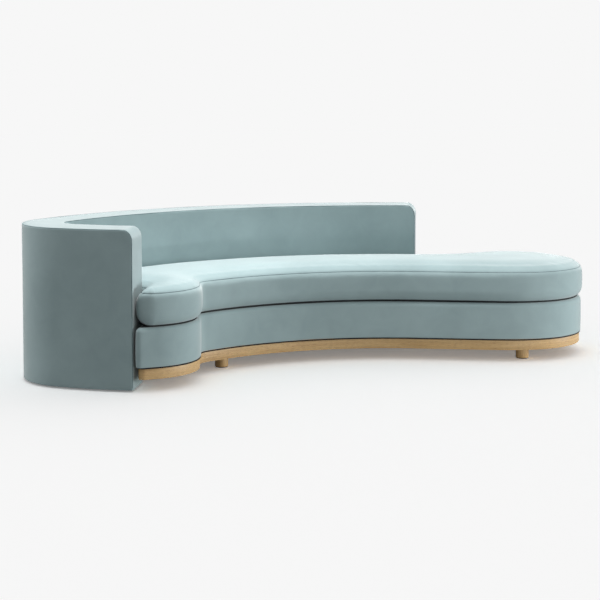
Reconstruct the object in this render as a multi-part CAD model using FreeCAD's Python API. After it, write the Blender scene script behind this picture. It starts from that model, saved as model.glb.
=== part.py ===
import FreeCAD, Part
import math
import os

os.makedirs("parts", exist_ok=True)
V = FreeCAD.Vector

# Curved chaise sofa in millimetres: +X to the chaise end, +Y to the back, +Z up, the floor at Z = 0.
# The back, the front of the seat and everything between them are arcs round one centre.

# Heights
wall_height = 720.0
wall_lift = 10.0
foot_length = 57.0
plinth_height = 51.0
shadow_gap = 4.0
base_height = 178.0
cushion_edge = 148.0
cushion_crown = 21.0

# Wall in plan: back, corner and arm are tangent arcs of the outer face
back_centre = V(-124.0, -1342.0, 0.0)
back_radius = 1909.0
back_from = 61.2
back_to = 127.7
corner_radius = 300.0
corner_to = 225.0
arm_radius = 1388.0
arm_to = 240.2
wall_thickness = 195.0
wall_edge_round = 12.0
arm_end_round = 38.0
back_end_round = 52.0

# Wall layers
cover = 2.0
outer_skin = 6.0
inner_panel = 12.0
inner_foam = 45.0
top_foam = 30.0
end_foam = 25.0
wall_rail = 24.0
upright_width = 40.0
back_uprights = 5
arm_uprights = 2

# Glides under the wall
glide_radius = 20.0
glide_sides = 12
back_glide_first = 67.8
back_glide_pitch = 22.2
back_glides = 3
arm_glide = 232.6

# Seat in plan: the lobe by the arm and the round end stand at a bearing from the back's centre and
# their offset past the front arc
seat_depth = 516.0
lobe_bearing = 126.14
lobe_offset = 160.3
lobe_radius = 287.0
lobe_fillet = 100.0
end_bearing = 43.44
end_offset = 436.7
end_radius = 345.0
end_front_radius = 500.0
end_front_turn = -3.0
rear_fillet = 400.0
ear_gap = 14.0
ear_radius = 28.0
ear_least_radius = 4.0
arm_inner_round = 24.0

# Seat base
base_gap = 0.5
base_top_round = 24.0
base_rail = 18.0
base_pad = 24.0
cross_rail_width = 30.0
cross_rail_height = 82.0
back_cross_rails = 4
end_rail_start = -180.0
end_rail_pitch = 260.0
end_cross_rails = 2
strap_width = 50.0
strap_thickness = 2.0
strap_start = -73.0
strap_pitch = 174.0
straps = 13

# Plinth and feet
plinth_inset = 6.0
plinth_band = 18.0
plinth_board = 18.0
foot_radius = 32.0
foot_offset = 105.0
front_left_foot = 105.0
front_right_foot = -108.2
rear_right_foot = 75.0
rear_left_foot = 113.0
foot_bolt_radius = 5.0
foot_bolt_depth = 30.0

# Bolts between the seat base and the wall
tie_height = 195.0
tie_radius = 4.0
tie_head_radius = 7.5
tie_head_height = 6.0
ties = 3
tie_nut_height = 7.0
bolt_sides = 6

# Cushion
cushion_bulge = 6.0
cushion_gap = 4.0
cushion_lip = 40.0
cushion_lip_rise = 46.0
cushion_crown_run = 51.0
cushion_ear_radius = 52.0
zip_from = 84.0
zip_to = 108.0
zip_height = 12.0
zip_thickness = 1.0

# Clearance between curved faces, how far a cutting form stands past its cut, and a span past everything
fit = 0.3
past = 1.0
span = 4000.0

# Levels worked out from the heights
plinth_foot = foot_length
plinth_top = plinth_foot + plinth_height
base_foot = plinth_top + shadow_gap
base_top = base_foot + base_height
pad_foot = base_top - cover - base_pad
strap_foot = pad_foot - strap_thickness
seam = base_top + cushion_edge
top_rail_top = wall_height - cover - top_foam
top_rail_foot = top_rail_top - wall_rail
bottom_rail_top = wall_lift + wall_rail

# Wall layers as distances from the outer face
outer_skin_at = cover + fit
frame_at = outer_skin_at + outer_skin + fit
inner_foam_end = wall_thickness - cover - fit
inner_foam_at = inner_foam_end - inner_foam
inner_panel_end = inner_foam_at - fit
inner_panel_at = inner_panel_end - inner_panel
frame_end = inner_panel_at - fit
frame_trim = cover + fit + end_foam + fit


def polar(centre, radius, degrees):
    angle = math.radians(degrees)
    return centre + V(radius * math.cos(angle), radius * math.sin(angle), 0)


def bearing(start, end):
    return math.degrees(math.atan2(end.y - start.y, end.x - start.x))


def arc(centre, radius, start, end):
    ends = [polar(centre, radius, a) for a in (start, (start + end) / 2, end)]
    return Part.Arc(*ends).toShape()


def turn(centre, radius, start, end, left):
    # Arc that turns left or right from one bearing to the other
    sweep = (end - start) % 360 if left else -((start - end) % 360)
    return arc(centre, radius, start, start + sweep)


def line(start, end):
    return Part.LineSegment(start, end).toShape()


def run_start(edge):
    return edge.valueAt(edge.FirstParameter)


def run_end(edge):
    return edge.valueAt(edge.LastParameter)


def wire_at(edges, height):
    wire = Part.Wire(edges)
    wire.translate(V(0, 0, height))
    return wire


def prism(edges, foot, top):
    return Part.Face(wire_at(edges, foot)).extrude(V(0, 0, top - foot))


def loft(sections):
    return Part.makeLoft([wire_at(edges, height) for height, edges in sections], True, True)


def cylinder(centre, radius, foot, top):
    return Part.makeCylinder(radius, top - foot, V(centre.x, centre.y, foot))


def circles_meet(first, first_radius, second, second_radius):
    # The meeting point on the left of the way from the first centre to the second
    way = second - first
    along = (first_radius ** 2 - second_radius ** 2 + way.Length ** 2) / (2 * way.Length)
    aside = math.sqrt(first_radius ** 2 - along ** 2)
    ahead = way / way.Length
    return first + ahead * along + V(-ahead.y, ahead.x, 0) * aside


def round_inset(radius, below_top):
    # How far a rounded edge has drawn in at a height given as a depth below the top
    rise = max(0.0, radius - below_top)
    return radius - math.sqrt(radius ** 2 - rise ** 2)


def save(name, shape):
    shape.exportStep("parts/" + name + ".step")


def group(solids):
    return Part.makeCompound(solids)


def drill(shape, tools):
    return shape.cut(group(tools))


# Centres of the seat's two round ends
front_radius = back_radius - wall_thickness - seat_depth
lobe_centre = polar(back_centre, front_radius + lobe_offset, lobe_bearing)
end_centre = polar(back_centre, front_radius + end_offset, end_bearing)

# Centres of the corner and arm arcs follow from tangency
corner_centre = polar(back_centre, back_radius - corner_radius, back_to)
arm_centre = polar(corner_centre, corner_radius - arm_radius, corner_to)
arm_ahead = polar(V(0, 0, 0), 1.0, arm_to + 90)
arm_outward = polar(V(0, 0, 0), 1.0, arm_to)


def back_angle(distance):
    # Bearing at a distance along the back from its end
    return back_from + math.degrees(distance / (back_radius - wall_thickness / 2))


def arm_angle(distance):
    return arm_to - math.degrees(distance / (arm_radius - wall_thickness / 2))


def upright_angle(number):
    # Bearing of an upright of the back, counted from its end, or of a place between two of them
    half = upright_width / 2
    first = frame_trim + half
    last = math.radians(back_to - back_from) * (back_radius - wall_thickness / 2) - half
    return back_angle(first + (last - first) * number / (back_uprights - 1))


def wall_runs(start, end):
    return [(back_centre, back_radius, start, back_to),
            (corner_centre, corner_radius, back_to, corner_to),
            (arm_centre, arm_radius, corner_to, end)]


def wall_ring(near, far, trim, foot, top):
    # C-shaped band between two distances from the wall's outer face, cut short by trim at both ends
    start = back_angle(trim)
    end = arm_angle(trim)
    runs = wall_runs(start, end)
    edges = [arc(c, r - near, a, b) for c, r, a, b in runs]
    edges.append(line(run_end(edges[-1]), polar(arm_centre, arm_radius - far, end)))
    edges += [arc(c, r - far, b, a) for c, r, a, b in reversed(runs)]
    edges.append(line(run_end(edges[-1]), run_start(edges[0])))
    return prism(edges, foot, top)


def block(centre, outer, inner, start, end, foot, top):
    # Piece of a ring between two bearings from its centre
    edges = [arc(centre, outer, start, end),
             line(polar(centre, outer, end), polar(centre, inner, end)),
             arc(centre, inner, end, start),
             line(polar(centre, inner, start), polar(centre, outer, start))]
    return prism(edges, foot, top)


def end_corner(centre, radius, end, size, inside):
    # Rounded plan corner between an arc and the wall's end face: its centre and its lean from the face
    reach = radius + size if inside else radius - size
    lean = math.degrees(math.asin(size / reach))
    return polar(centre, reach, end - lean if centre is arm_centre else end + lean), lean


def wall_outline(inset, arm_trim, back_trim, size):
    # Plan of the padded wall with its four upright edges rounded
    start = back_angle(back_trim)
    end = arm_angle(arm_trim)
    far = wall_thickness - inset
    arm_out, arm_out_lean = end_corner(arm_centre, arm_radius - inset, end, size, False)
    arm_in, arm_in_lean = end_corner(arm_centre, arm_radius - far, end, size, True)
    back_out, back_out_lean = end_corner(back_centre, back_radius - inset, start, size, False)
    back_in, back_in_lean = end_corner(back_centre, back_radius - far, start, size, True)
    outer = wall_runs(start + back_out_lean, end - arm_out_lean)
    inner = wall_runs(start + back_in_lean, end - arm_in_lean)
    edges = [arc(c, r - inset, a, b) for c, r, a, b in outer]
    edges.append(turn(arm_out, size, end - arm_out_lean, end + 90, True))
    edges.append(line(polar(arm_out, size, end + 90), polar(arm_in, size, end + 90)))
    edges.append(turn(arm_in, size, end + 90, end - arm_in_lean + 180, True))
    edges += [arc(c, r - far, b, a) for c, r, a, b in reversed(inner)]
    edges.append(turn(back_in, size, start + back_in_lean + 180, start - 90, True))
    edges.append(line(polar(back_in, size, start - 90), polar(back_out, size, start - 90)))
    edges.append(turn(back_out, size, start - 90, start + back_out_lean, True))
    return edges


def wall_body(inset, foot, steps):
    # Padded form of the wall: large rounded corners at the ends of the top, small ones along its edges
    top = wall_height - inset
    largest = max(arm_end_round, back_end_round) - inset
    edge_round = wall_edge_round - inset
    depths = [largest, 0.0] + [edge_round * (1 - math.sin(math.radians(step))) for step in steps]
    heights = sorted({foot} | {top - d for d in depths if top - d > foot})
    sections = []
    for height in heights:
        depth = top - height
        along = inset + round_inset(edge_round, depth)
        arm_trim = inset + round_inset(arm_end_round - inset, depth)
        back_trim = inset + round_inset(back_end_round - inset, depth)
        sections.append((height, wall_outline(along, arm_trim, back_trim, edge_round)))
    return loft(sections)


def seat_outline(out, gap, corner=ear_radius):
    # Kidney plan of the seat: out grows the open sides, gap stands it off from the wall's inner face.
    # The runs start where the ear's side meets its corner and go round to the left of the way.
    wall_face = back_radius - wall_thickness - gap
    arm_face = arm_radius - wall_thickness - gap
    corner_face = corner_radius - wall_thickness - gap
    side = ear_gap - out
    front = lobe_centre.y - lobe_radius - out

    ear = max(corner + out, ear_least_radius)
    ear_reach = (front + ear - arm_centre.y - (side + ear) * arm_ahead.y) / arm_outward.y
    ear_centre = arm_centre + arm_ahead * (side + ear) + arm_outward * ear_reach

    hollow = circles_meet(lobe_centre, lobe_radius + lobe_fillet, back_centre, front_radius - lobe_fillet)
    lobe_leave = bearing(lobe_centre, hollow)
    front_start = bearing(back_centre, hollow)

    turned = math.radians(end_front_turn)
    brow = end_centre + V(-math.sin(turned), math.cos(turned), 0) * (end_front_radius - end_radius)
    reach = (brow - back_centre).Length
    lean = math.degrees(math.acos((front_radius + end_front_radius) / reach))
    front_end = bearing(back_centre, brow) + lean
    brow_end = end_front_turn - 90

    dip_radius = rear_fillet - out
    dip = circles_meet(back_centre, wall_face + dip_radius, end_centre, end_radius + rear_fillet)
    end_leave = bearing(end_centre, dip)
    end_middle = (brow_end + end_leave) / 2
    wall_start = bearing(back_centre, dip)

    nook_radius = arm_inner_round + gap
    nook_ahead = side - nook_radius
    nook_out = math.sqrt((arm_face + nook_radius) ** 2 - nook_ahead ** 2)
    nook = arm_centre + arm_ahead * nook_ahead + arm_outward * nook_out
    arm_end = bearing(arm_centre, nook) % 360

    return [turn(ear_centre, ear, arm_to - 90, -90, True),
            line(polar(ear_centre, ear, -90), polar(lobe_centre, lobe_radius + out, -90)),
            turn(lobe_centre, lobe_radius + out, -90, lobe_leave, True),
            turn(hollow, lobe_fillet - out, lobe_leave + 180, front_start, False),
            turn(back_centre, front_radius - out, front_start, front_end, False),
            line(polar(back_centre, front_radius - out, front_end),
                 polar(brow, end_front_radius + out, front_end + 180)),
            turn(brow, end_front_radius + out, front_end + 180, brow_end, True),
            turn(end_centre, end_radius + out, brow_end, end_middle, True),
            turn(end_centre, end_radius + out, end_middle, end_leave, True),
            turn(dip, dip_radius, end_leave + 180, wall_start + 180, False),
            turn(back_centre, wall_face, wall_start, back_to, True),
            turn(corner_centre, corner_face, back_to, corner_to, True),
            turn(arm_centre, arm_face, corner_to, arm_end, True),
            turn(nook, nook_radius, arm_end + 180, arm_to + 90, False),
            line(nook + arm_ahead * nook_radius, ear_centre - arm_ahead * ear)]


def seat_plate(inset, foot, top):
    return prism(seat_outline(-inset, base_gap + inset), foot, top)


def seat_band(near, far, first, last, foot, top):
    # Bent strip along some runs of the seat's outline, between two insets
    outer = seat_outline(-near, base_gap + near)[first:last]
    inner = seat_outline(-far, base_gap + far)[first:last]
    start = line(run_start(inner[0]), run_start(outer[0]))
    end = line(run_end(outer[-1]), run_end(inner[-1]))
    return prism([start] + outer + [end] + inner[::-1], foot, top)


def base_body(inset, foot, steps):
    # Padded form of the seat base with its rounded upper edge
    top = base_top - inset
    upper = base_top_round - inset
    depths = [upper * (1 - math.sin(math.radians(step))) for step in steps]
    heights = [foot] + [top - d for d in depths if top - d > foot]
    insets = [inset + round_inset(upper, top - h) for h in heights]
    return loft([(h, seat_outline(-i, base_gap + i)) for h, i in zip(heights, insets)])


def cushion_outline(out):
    return seat_outline(out, cushion_gap + cushion_bulge - out, cushion_ear_radius)


def cushion_lip_sections(inset, steps):
    # The rolled lower lip, from the flat underside out to the widest part of the side
    sections = []
    for step in steps:
        angle = math.radians(step)
        height = base_top + inset + (cushion_lip_rise - inset) * (1 - math.cos(angle))
        out = cushion_bulge - inset - (cushion_lip - inset) * (1 - math.sin(angle))
        sections.append((height, cushion_outline(out)))
    return sections


def cushion_crown_sections(inset, shares):
    # The top panel, from the seam up to the flat of its crown
    sections = []
    for share in shares:
        height = seam - inset + cushion_crown * (1 - (1 - share) ** 2)
        out = cushion_bulge - inset - (cushion_crown_run - inset) * share
        sections.append((height, cushion_outline(out)))
    return sections


def bar(middle, radius, sides, across, way):
    # Flat-sided bar round a circle, from its first face's middle along its way
    reach = radius / math.cos(math.pi / sides)
    up = way.cross(across).normalize()
    leans = [2 * math.pi * n / sides for n in range(sides + 1)]
    corners = [middle + across * (reach * math.cos(a)) + up * (reach * math.sin(a)) for a in leans]
    return Part.Face(Part.makePolygon(corners)).extrude(way)


def upright_bar(place, radius, sides, foot, top):
    return bar(place + V(0, 0, foot), radius, sides, V(1, 0, 0), V(0, 0, top - foot))


def tie_bars(radius, near, far):
    # Level bars across the back, midway between uprights, from one distance to another from its centre
    bars = []
    for k in range(ties):
        ahead = polar(V(0, 0, 0), 1.0, upright_angle(k + 0.5))
        middle = back_centre + ahead * near + V(0, 0, tie_height)
        bars.append(bar(middle, radius, bolt_sides, V(-ahead.y, ahead.x, 0), ahead * (far - near)))
    return bars


def wall_frame():
    save("wall_bottom_rail", wall_ring(frame_at, frame_end, frame_trim, wall_lift, bottom_rail_top))
    save("wall_top_rail", wall_ring(frame_at, frame_end, frame_trim, top_rail_foot, top_rail_top))
    for number, upright in enumerate(uprights(), 1):
        save("wall_upright_%d" % number, upright)
    panel = wall_ring(inner_panel_at, inner_panel_end, frame_trim, wall_lift, top_rail_top)
    face = back_radius - inner_panel_end
    holes = tie_bars(tie_radius + fit, face - past, face + inner_panel + past)
    save("wall_inner_panel", drill(panel, holes))
    skin = wall_ring(outer_skin_at, outer_skin_at + outer_skin, frame_trim, wall_lift, top_rail_top)
    save("wall_outer_skin", skin)


def uprights():
    # Posts evenly spaced along the back and the arm, with one at each end and one in the corner
    made = []
    half = upright_width / 2
    lean = math.degrees(half / (back_radius - wall_thickness / 2))
    for k in range(back_uprights):
        middle = upright_angle(k)
        made.append(block(back_centre, back_radius - frame_at, back_radius - frame_end,
                          middle - lean, middle + lean, bottom_rail_top, top_rail_foot))
    first = frame_trim + half
    last = math.radians(arm_to - corner_to) * (arm_radius - wall_thickness / 2) - half
    for k in range(arm_uprights):
        at = first + (last - first) * k / (arm_uprights - 1)
        made.append(block(arm_centre, arm_radius - frame_at, arm_radius - frame_end,
                          arm_angle(at + half), arm_angle(at - half), bottom_rail_top, top_rail_foot))
    middle = (back_to + corner_to) / 2
    lean = math.degrees(half / (corner_radius - wall_thickness / 2))
    made.append(block(corner_centre, corner_radius - frame_at, corner_radius - frame_end,
                      middle - lean, middle + lean, bottom_rail_top, top_rail_foot))
    return made


def wall_padding():
    face = back_radius - wall_thickness
    inner = cover + fit
    slits = tie_bars(tie_radius + fit, face - past, back_radius - inner_panel_end + fit / 2)
    foam = wall_ring(inner_foam_at, inner_foam_end, frame_trim, wall_lift, top_rail_top)
    save("wall_inner_foam", drill(foam, slits))
    body = wall_body(inner, wall_lift, (0,))
    above = Part.makeBox(span, span, span, V(-span / 2, -span / 2, top_rail_top))
    save("wall_top_foam", body.common(above))
    arm_end = block(arm_centre, arm_radius + past, arm_radius - wall_thickness - past,
                    arm_angle(inner + end_foam), arm_angle(0), wall_lift, top_rail_top)
    save("arm_end_foam", body.common(arm_end))
    back_end = block(back_centre, back_radius + past, face - past,
                     back_angle(0), back_angle(inner + end_foam), wall_lift, top_rail_top)
    save("back_end_foam", body.common(back_end))
    shell = wall_body(0, wall_lift, (0, 45)).cut(wall_body(cover, wall_lift - past, (0,)))
    save("wall_cover", drill(shell, slits))


def wall_glides():
    middle = (frame_at + frame_end) / 2
    bearings = [back_glide_first + back_glide_pitch * k for k in range(back_glides)]
    places = [polar(back_centre, back_radius - middle, b) for b in bearings]
    places.append(polar(arm_centre, arm_radius - middle, arm_glide))
    save("wall_glides", group([upright_bar(p, glide_radius, glide_sides, 0, wall_lift) for p in places]))


def base_frame():
    near = cover + fit
    far = near + base_rail
    face = back_radius - wall_thickness - base_gap - far
    holes = tie_bars(tie_radius + fit, face - past, face + base_rail + past)
    save("base_front_rail", seat_band(near, far, 0, 8, plinth_top, strap_foot))
    save("base_rear_rail", drill(seat_band(near, far, 8, 15, plinth_top, strap_foot), holes))
    room = seat_plate(far + fit, strap_foot - cross_rail_height, strap_foot)
    face = back_radius - wall_thickness
    middles = [polar(back_centre, face, upright_angle(k)).x for k in reversed(range(back_cross_rails))]
    middles += [end_centre.x + end_rail_start + end_rail_pitch * k for k in range(end_cross_rails)]
    for number, middle in enumerate(middles, 1):
        corner = V(middle - cross_rail_width / 2, -span / 2, 0)
        save("cross_rail_%d" % number, room.common(Part.makeBox(cross_rail_width, span, span, corner)))
    room = seat_plate(near, strap_foot, pad_foot)
    made = []
    for k in range(straps):
        corner = V(lobe_centre.x + strap_start + strap_pitch * k - strap_width / 2, -span / 2, 0)
        made += room.common(Part.makeBox(strap_width, span, span, corner)).Solids
    save("seat_webbing", group(made))


def base_padding():
    face = back_radius - wall_thickness - base_gap
    inner = cover + fit
    slits = tie_bars(tie_radius + fit, face - inner + fit / 2, face + base_gap / 2)
    save("base_pad", base_body(inner, pad_foot, (90,)))
    shell = base_body(0, base_foot, (0, 40, 90)).cut(base_body(cover, base_foot - past, (0, 90)))
    save("base_cover", drill(shell, slits))


def tie_bolts():
    # Bolts from inside the seat base through both padded faces, with nuts behind the wall's inner panel
    rail = back_radius - wall_thickness - base_gap - cover - fit - base_rail - fit
    panel = back_radius - inner_panel_at + fit
    tail = panel + tie_nut_height
    heads = tie_bars(tie_head_radius, rail - tie_head_height, rail)
    shanks = tie_bars(tie_radius, rail, tail)
    save("tie_bolts", group([h.fuse(s).removeSplitter() for h, s in zip(heads, shanks)]))
    nuts = tie_bars(tie_head_radius, panel, tail)
    bores = tie_bars(tie_radius + fit, panel - past, tail + past)
    save("tie_nuts", group([n.cut(b) for n, b in zip(nuts, bores)]))


def foot_places():
    # Feet stand one offset within the outline: two under the front, two under the rear
    rear = back_radius - wall_thickness - base_gap - foot_offset
    return [polar(back_centre, front_radius + foot_offset, front_left_foot),
            polar(end_centre, end_radius - foot_offset, front_right_foot),
            polar(end_centre, end_radius - foot_offset, rear_right_foot),
            polar(back_centre, rear, rear_left_foot)]


def plinth_and_feet():
    far = plinth_inset + plinth_band
    save("plinth_front", seat_band(plinth_inset, far, 0, 8, plinth_foot, plinth_top))
    save("plinth_rear", seat_band(plinth_inset, far, 8, 15, plinth_foot, plinth_top))
    places = foot_places()
    board_top = plinth_foot + plinth_board
    bolt_foot = plinth_foot - foot_bolt_depth
    holes = [upright_bar(p, foot_bolt_radius + fit, bolt_sides, bolt_foot, board_top) for p in places]
    save("plinth_board", drill(seat_plate(far + fit, plinth_foot, board_top), holes))
    feet = [cylinder(p, foot_radius, 0, plinth_foot) for p in places]
    save("feet", group([foot.cut(hole) for foot, hole in zip(feet, holes)]))
    bolts = [upright_bar(p, foot_bolt_radius, bolt_sides, bolt_foot, board_top) for p in places]
    save("foot_bolts", group(bolts))


def cushion():
    outside = loft(cushion_lip_sections(0, (0, 45, 90)) + cushion_crown_sections(0, (0, 0.4, 1)))
    inside = loft(cushion_lip_sections(cover, (0, 90)) + cushion_crown_sections(cover, (0, 1)))
    save("cushion_cover", outside.cut(inside))
    inner = cover + fit
    save("cushion_core", loft(cushion_lip_sections(inner, (0, 90)) + cushion_crown_sections(inner, (0,))))
    save("cushion_fibre", loft(cushion_crown_sections(inner, (0, 1))))
    face = back_radius - wall_thickness - cushion_gap + fit
    middle = base_top + cushion_lip_rise
    strip = block(back_centre, face + zip_thickness, face, zip_from, zip_to, middle, middle + zip_height)
    save("cushion_zip", strip)


wall_frame()
wall_padding()
wall_glides()
base_frame()
base_padding()
tie_bolts()
plinth_and_feet()
cushion()
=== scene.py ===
import math
import bpy
import bmesh
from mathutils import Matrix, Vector, kdtree, noise
from mathutils.geometry import delaunay_2d_cdt


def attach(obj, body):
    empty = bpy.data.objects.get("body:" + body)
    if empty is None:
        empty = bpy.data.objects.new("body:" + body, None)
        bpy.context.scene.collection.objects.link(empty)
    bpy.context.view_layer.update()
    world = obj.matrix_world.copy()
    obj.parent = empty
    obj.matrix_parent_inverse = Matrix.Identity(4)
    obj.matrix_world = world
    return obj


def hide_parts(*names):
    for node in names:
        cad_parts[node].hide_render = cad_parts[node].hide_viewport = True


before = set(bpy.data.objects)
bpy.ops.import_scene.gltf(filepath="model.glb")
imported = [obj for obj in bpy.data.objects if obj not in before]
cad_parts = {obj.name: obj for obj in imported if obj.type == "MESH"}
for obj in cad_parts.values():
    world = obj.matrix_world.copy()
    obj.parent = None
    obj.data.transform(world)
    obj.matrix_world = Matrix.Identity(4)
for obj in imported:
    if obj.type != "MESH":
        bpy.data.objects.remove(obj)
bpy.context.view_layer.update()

# One-arm chaise: a bent upholstered wall, a kidney seat on an oak band, one loose cushion.
# Sizes in metres and bearings in degrees, as in the construction.
plan = {
    "backCentre": Vector((-0.124, -1.342)), "backRadius": 1.909, "backFrom": 61.2, "backTo": 127.7,
    "cornerRadius": 0.300, "cornerTo": 225.0, "armRadius": 1.388, "armTo": 240.2, "thick": 0.195,
    "seatDepth": 0.516, "lobeOut": 0.1603, "lobeAt": 126.14, "lobeRadius": 0.287, "lobeFillet": 0.100,
    "endOut": 0.4367, "endAt": 43.44, "endRadius": 0.345, "browRadius": 0.500, "browTurn": -3.0,
    "dipRadius": 0.400, "earGap": 0.014, "earLeast": 0.004, "nookRadius": 0.024}


def polar(centre, radius, angle):
    turned = math.radians(angle)
    return centre + Vector((math.cos(turned), math.sin(turned))) * radius


def bearing(start, goal):
    return math.degrees(math.atan2(goal.y - start.y, goal.x - start.x))


def circlesMeet(first, firstRadius, second, secondRadius):
    # the meeting point on the left of the way from first to second
    way = second - first
    reach = way.length
    along = (firstRadius ** 2 - secondRadius ** 2 + reach ** 2) / (2 * reach)
    aside = math.sqrt(firstRadius ** 2 - along ** 2)
    ahead = way / reach
    return first + ahead * along + Vector((-ahead.y, ahead.x)) * aside


def turn(centre, radius, start, end, left):
    sweep = (end - start) % 360 if left else -((start - end) % 360)
    return centre, radius, start, sweep


backCentre = plan["backCentre"]
backRadius = plan["backRadius"]
thick = plan["thick"]
cornerCentre = polar(backCentre, backRadius - plan["cornerRadius"], plan["backTo"])
armCentre = polar(cornerCentre, plan["cornerRadius"] - plan["armRadius"], plan["cornerTo"])
armAhead = polar(Vector((0, 0)), 1, plan["armTo"] + 90)
armOutward = polar(Vector((0, 0)), 1, plan["armTo"])
frontRadius = backRadius - thick - plan["seatDepth"]
lobeCentre = polar(backCentre, frontRadius + plan["lobeOut"], plan["lobeAt"])
endCentre = polar(backCentre, frontRadius + plan["endOut"], plan["endAt"])


def seatRuns(out, gap, corner, earGap=plan["earGap"]):
    # arcs and lines round the seat: out grows the open sides, gap stands it off from the wall
    wallFace = backRadius - thick - gap
    armFace = plan["armRadius"] - thick - gap
    cornerFace = plan["cornerRadius"] - thick - gap
    side = earGap - out
    front = lobeCentre.y - plan["lobeRadius"] - out
    ear = max(corner + out, plan["earLeast"])
    earReach = (front + ear - armCentre.y - (side + ear) * armAhead.y) / armOutward.y
    earCentre = armCentre + armAhead * (side + ear) + armOutward * earReach

    lobeRadius = plan["lobeRadius"]
    fillet = plan["lobeFillet"]
    hollow = circlesMeet(lobeCentre, lobeRadius + fillet, backCentre, frontRadius - fillet)
    lobeLeave = bearing(lobeCentre, hollow)
    frontStart = bearing(backCentre, hollow)

    browRadius = plan["browRadius"]
    turned = math.radians(plan["browTurn"])
    offset = Vector((-math.sin(turned), math.cos(turned))) * (browRadius - plan["endRadius"])
    brow = endCentre + offset
    lean = math.degrees(math.acos((frontRadius + browRadius) / (brow - backCentre).length))
    frontEnd = bearing(backCentre, brow) + lean
    browEnd = plan["browTurn"] - 90

    dipRadius = plan["dipRadius"] - out
    dip = circlesMeet(backCentre, wallFace + dipRadius, endCentre, plan["endRadius"] + plan["dipRadius"])
    endLeave = bearing(endCentre, dip)
    endMiddle = (browEnd + endLeave) / 2
    wallStart = bearing(backCentre, dip)

    nookRadius = plan["nookRadius"] + gap
    nookAhead = side - nookRadius
    nookOut = math.sqrt((armFace + nookRadius) ** 2 - nookAhead ** 2)
    nook = armCentre + armAhead * nookAhead + armOutward * nookOut
    armEnd = bearing(armCentre, nook) % 360

    return [turn(earCentre, ear, plan["armTo"] - 90, -90, True),
            (polar(earCentre, ear, -90), polar(lobeCentre, lobeRadius + out, -90)),
            turn(lobeCentre, lobeRadius + out, -90, lobeLeave, True),
            turn(hollow, fillet - out, lobeLeave + 180, frontStart, False),
            turn(backCentre, frontRadius - out, frontStart, frontEnd, False),
            (polar(backCentre, frontRadius - out, frontEnd), polar(brow, browRadius + out, frontEnd + 180)),
            turn(brow, browRadius + out, frontEnd + 180, browEnd, True),
            turn(endCentre, plan["endRadius"] + out, browEnd, endMiddle, True),
            turn(endCentre, plan["endRadius"] + out, endMiddle, endLeave, True),
            turn(dip, dipRadius, endLeave + 180, wallStart + 180, False),
            turn(backCentre, wallFace, wallStart, plan["backTo"], True),
            turn(cornerCentre, cornerFace, plan["backTo"], plan["cornerTo"], True),
            turn(armCentre, armFace, plan["cornerTo"], armEnd, True),
            turn(nook, nookRadius, armEnd + 180, plan["armTo"] + 90, False),
            (nook + armAhead * nookRadius, earCentre - armAhead * ear)]


def wallRuns(inset, armTrim, backTrim, size):
    # the padded wall's plan, with its four upright edges rounded
    start = plan["backFrom"] + math.degrees(backTrim / backRadius)
    end = plan["armTo"] - math.degrees(armTrim / plan["armRadius"])
    far = thick - inset

    def lean(radius):
        return math.degrees(math.asin(size / radius))

    armRadius = plan["armRadius"]
    cornerRadius = plan["cornerRadius"]
    armOutLean = lean(armRadius - inset - size)
    armInLean = lean(armRadius - far + size)
    backOutLean = lean(backRadius - inset - size)
    backInLean = lean(backRadius - far + size)
    armOut = polar(armCentre, armRadius - inset - size, end - armOutLean)
    armIn = polar(armCentre, armRadius - far + size, end - armInLean)
    backOut = polar(backCentre, backRadius - inset - size, start + backOutLean)
    backIn = polar(backCentre, backRadius - far + size, start + backInLean)
    return [turn(backCentre, backRadius - inset, start + backOutLean, plan["backTo"], True),
            turn(cornerCentre, cornerRadius - inset, plan["backTo"], plan["cornerTo"], True),
            turn(armCentre, armRadius - inset, plan["cornerTo"], end - armOutLean, True),
            turn(armOut, size, end - armOutLean, end + 90, True),
            (polar(armOut, size, end + 90), polar(armIn, size, end + 90)),
            turn(armIn, size, end + 90, end - armInLean + 180, True),
            turn(armCentre, armRadius - far, end - armInLean, plan["cornerTo"], False),
            turn(cornerCentre, cornerRadius - far, plan["cornerTo"], plan["backTo"], False),
            turn(backCentre, backRadius - far, plan["backTo"], start + backInLean, False),
            turn(backIn, size, start + backInLean + 180, start - 90, True),
            (polar(backIn, size, start - 90), polar(backOut, size, start - 90)),
            turn(backOut, size, start - 90, start + backOutLean, True)]


def runLength(run):
    if len(run) == 2:
        return (run[1] - run[0]).length
    return abs(math.radians(run[3])) * run[1]


def stepCounts(runs, spacing, least=6):
    return [max(least, round(runLength(run) / spacing)) for run in runs]


def onRun(run, share):
    # a point on a line (two ends) or on an arc (centre, radius, start, sweep)
    if len(run) == 2:
        return run[0].lerp(run[1], share)
    return polar(run[0], run[1], run[2] + run[3] * share)


def lifted(spot, height):
    return Vector((spot.x, spot.y, height))


def walk(runs, counts, height, ends=False):
    # points along the runs, the same number on each ring of a piece
    points = []
    for run, count in zip(runs, counts):
        for step in range(count):
            points.append(lifted(onRun(run, step / count), height))
    if ends:
        points.append(lifted(onRun(runs[-1], 1), height))
    return points


def clamp(value):
    return min(1.0, max(0.0, value))


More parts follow.
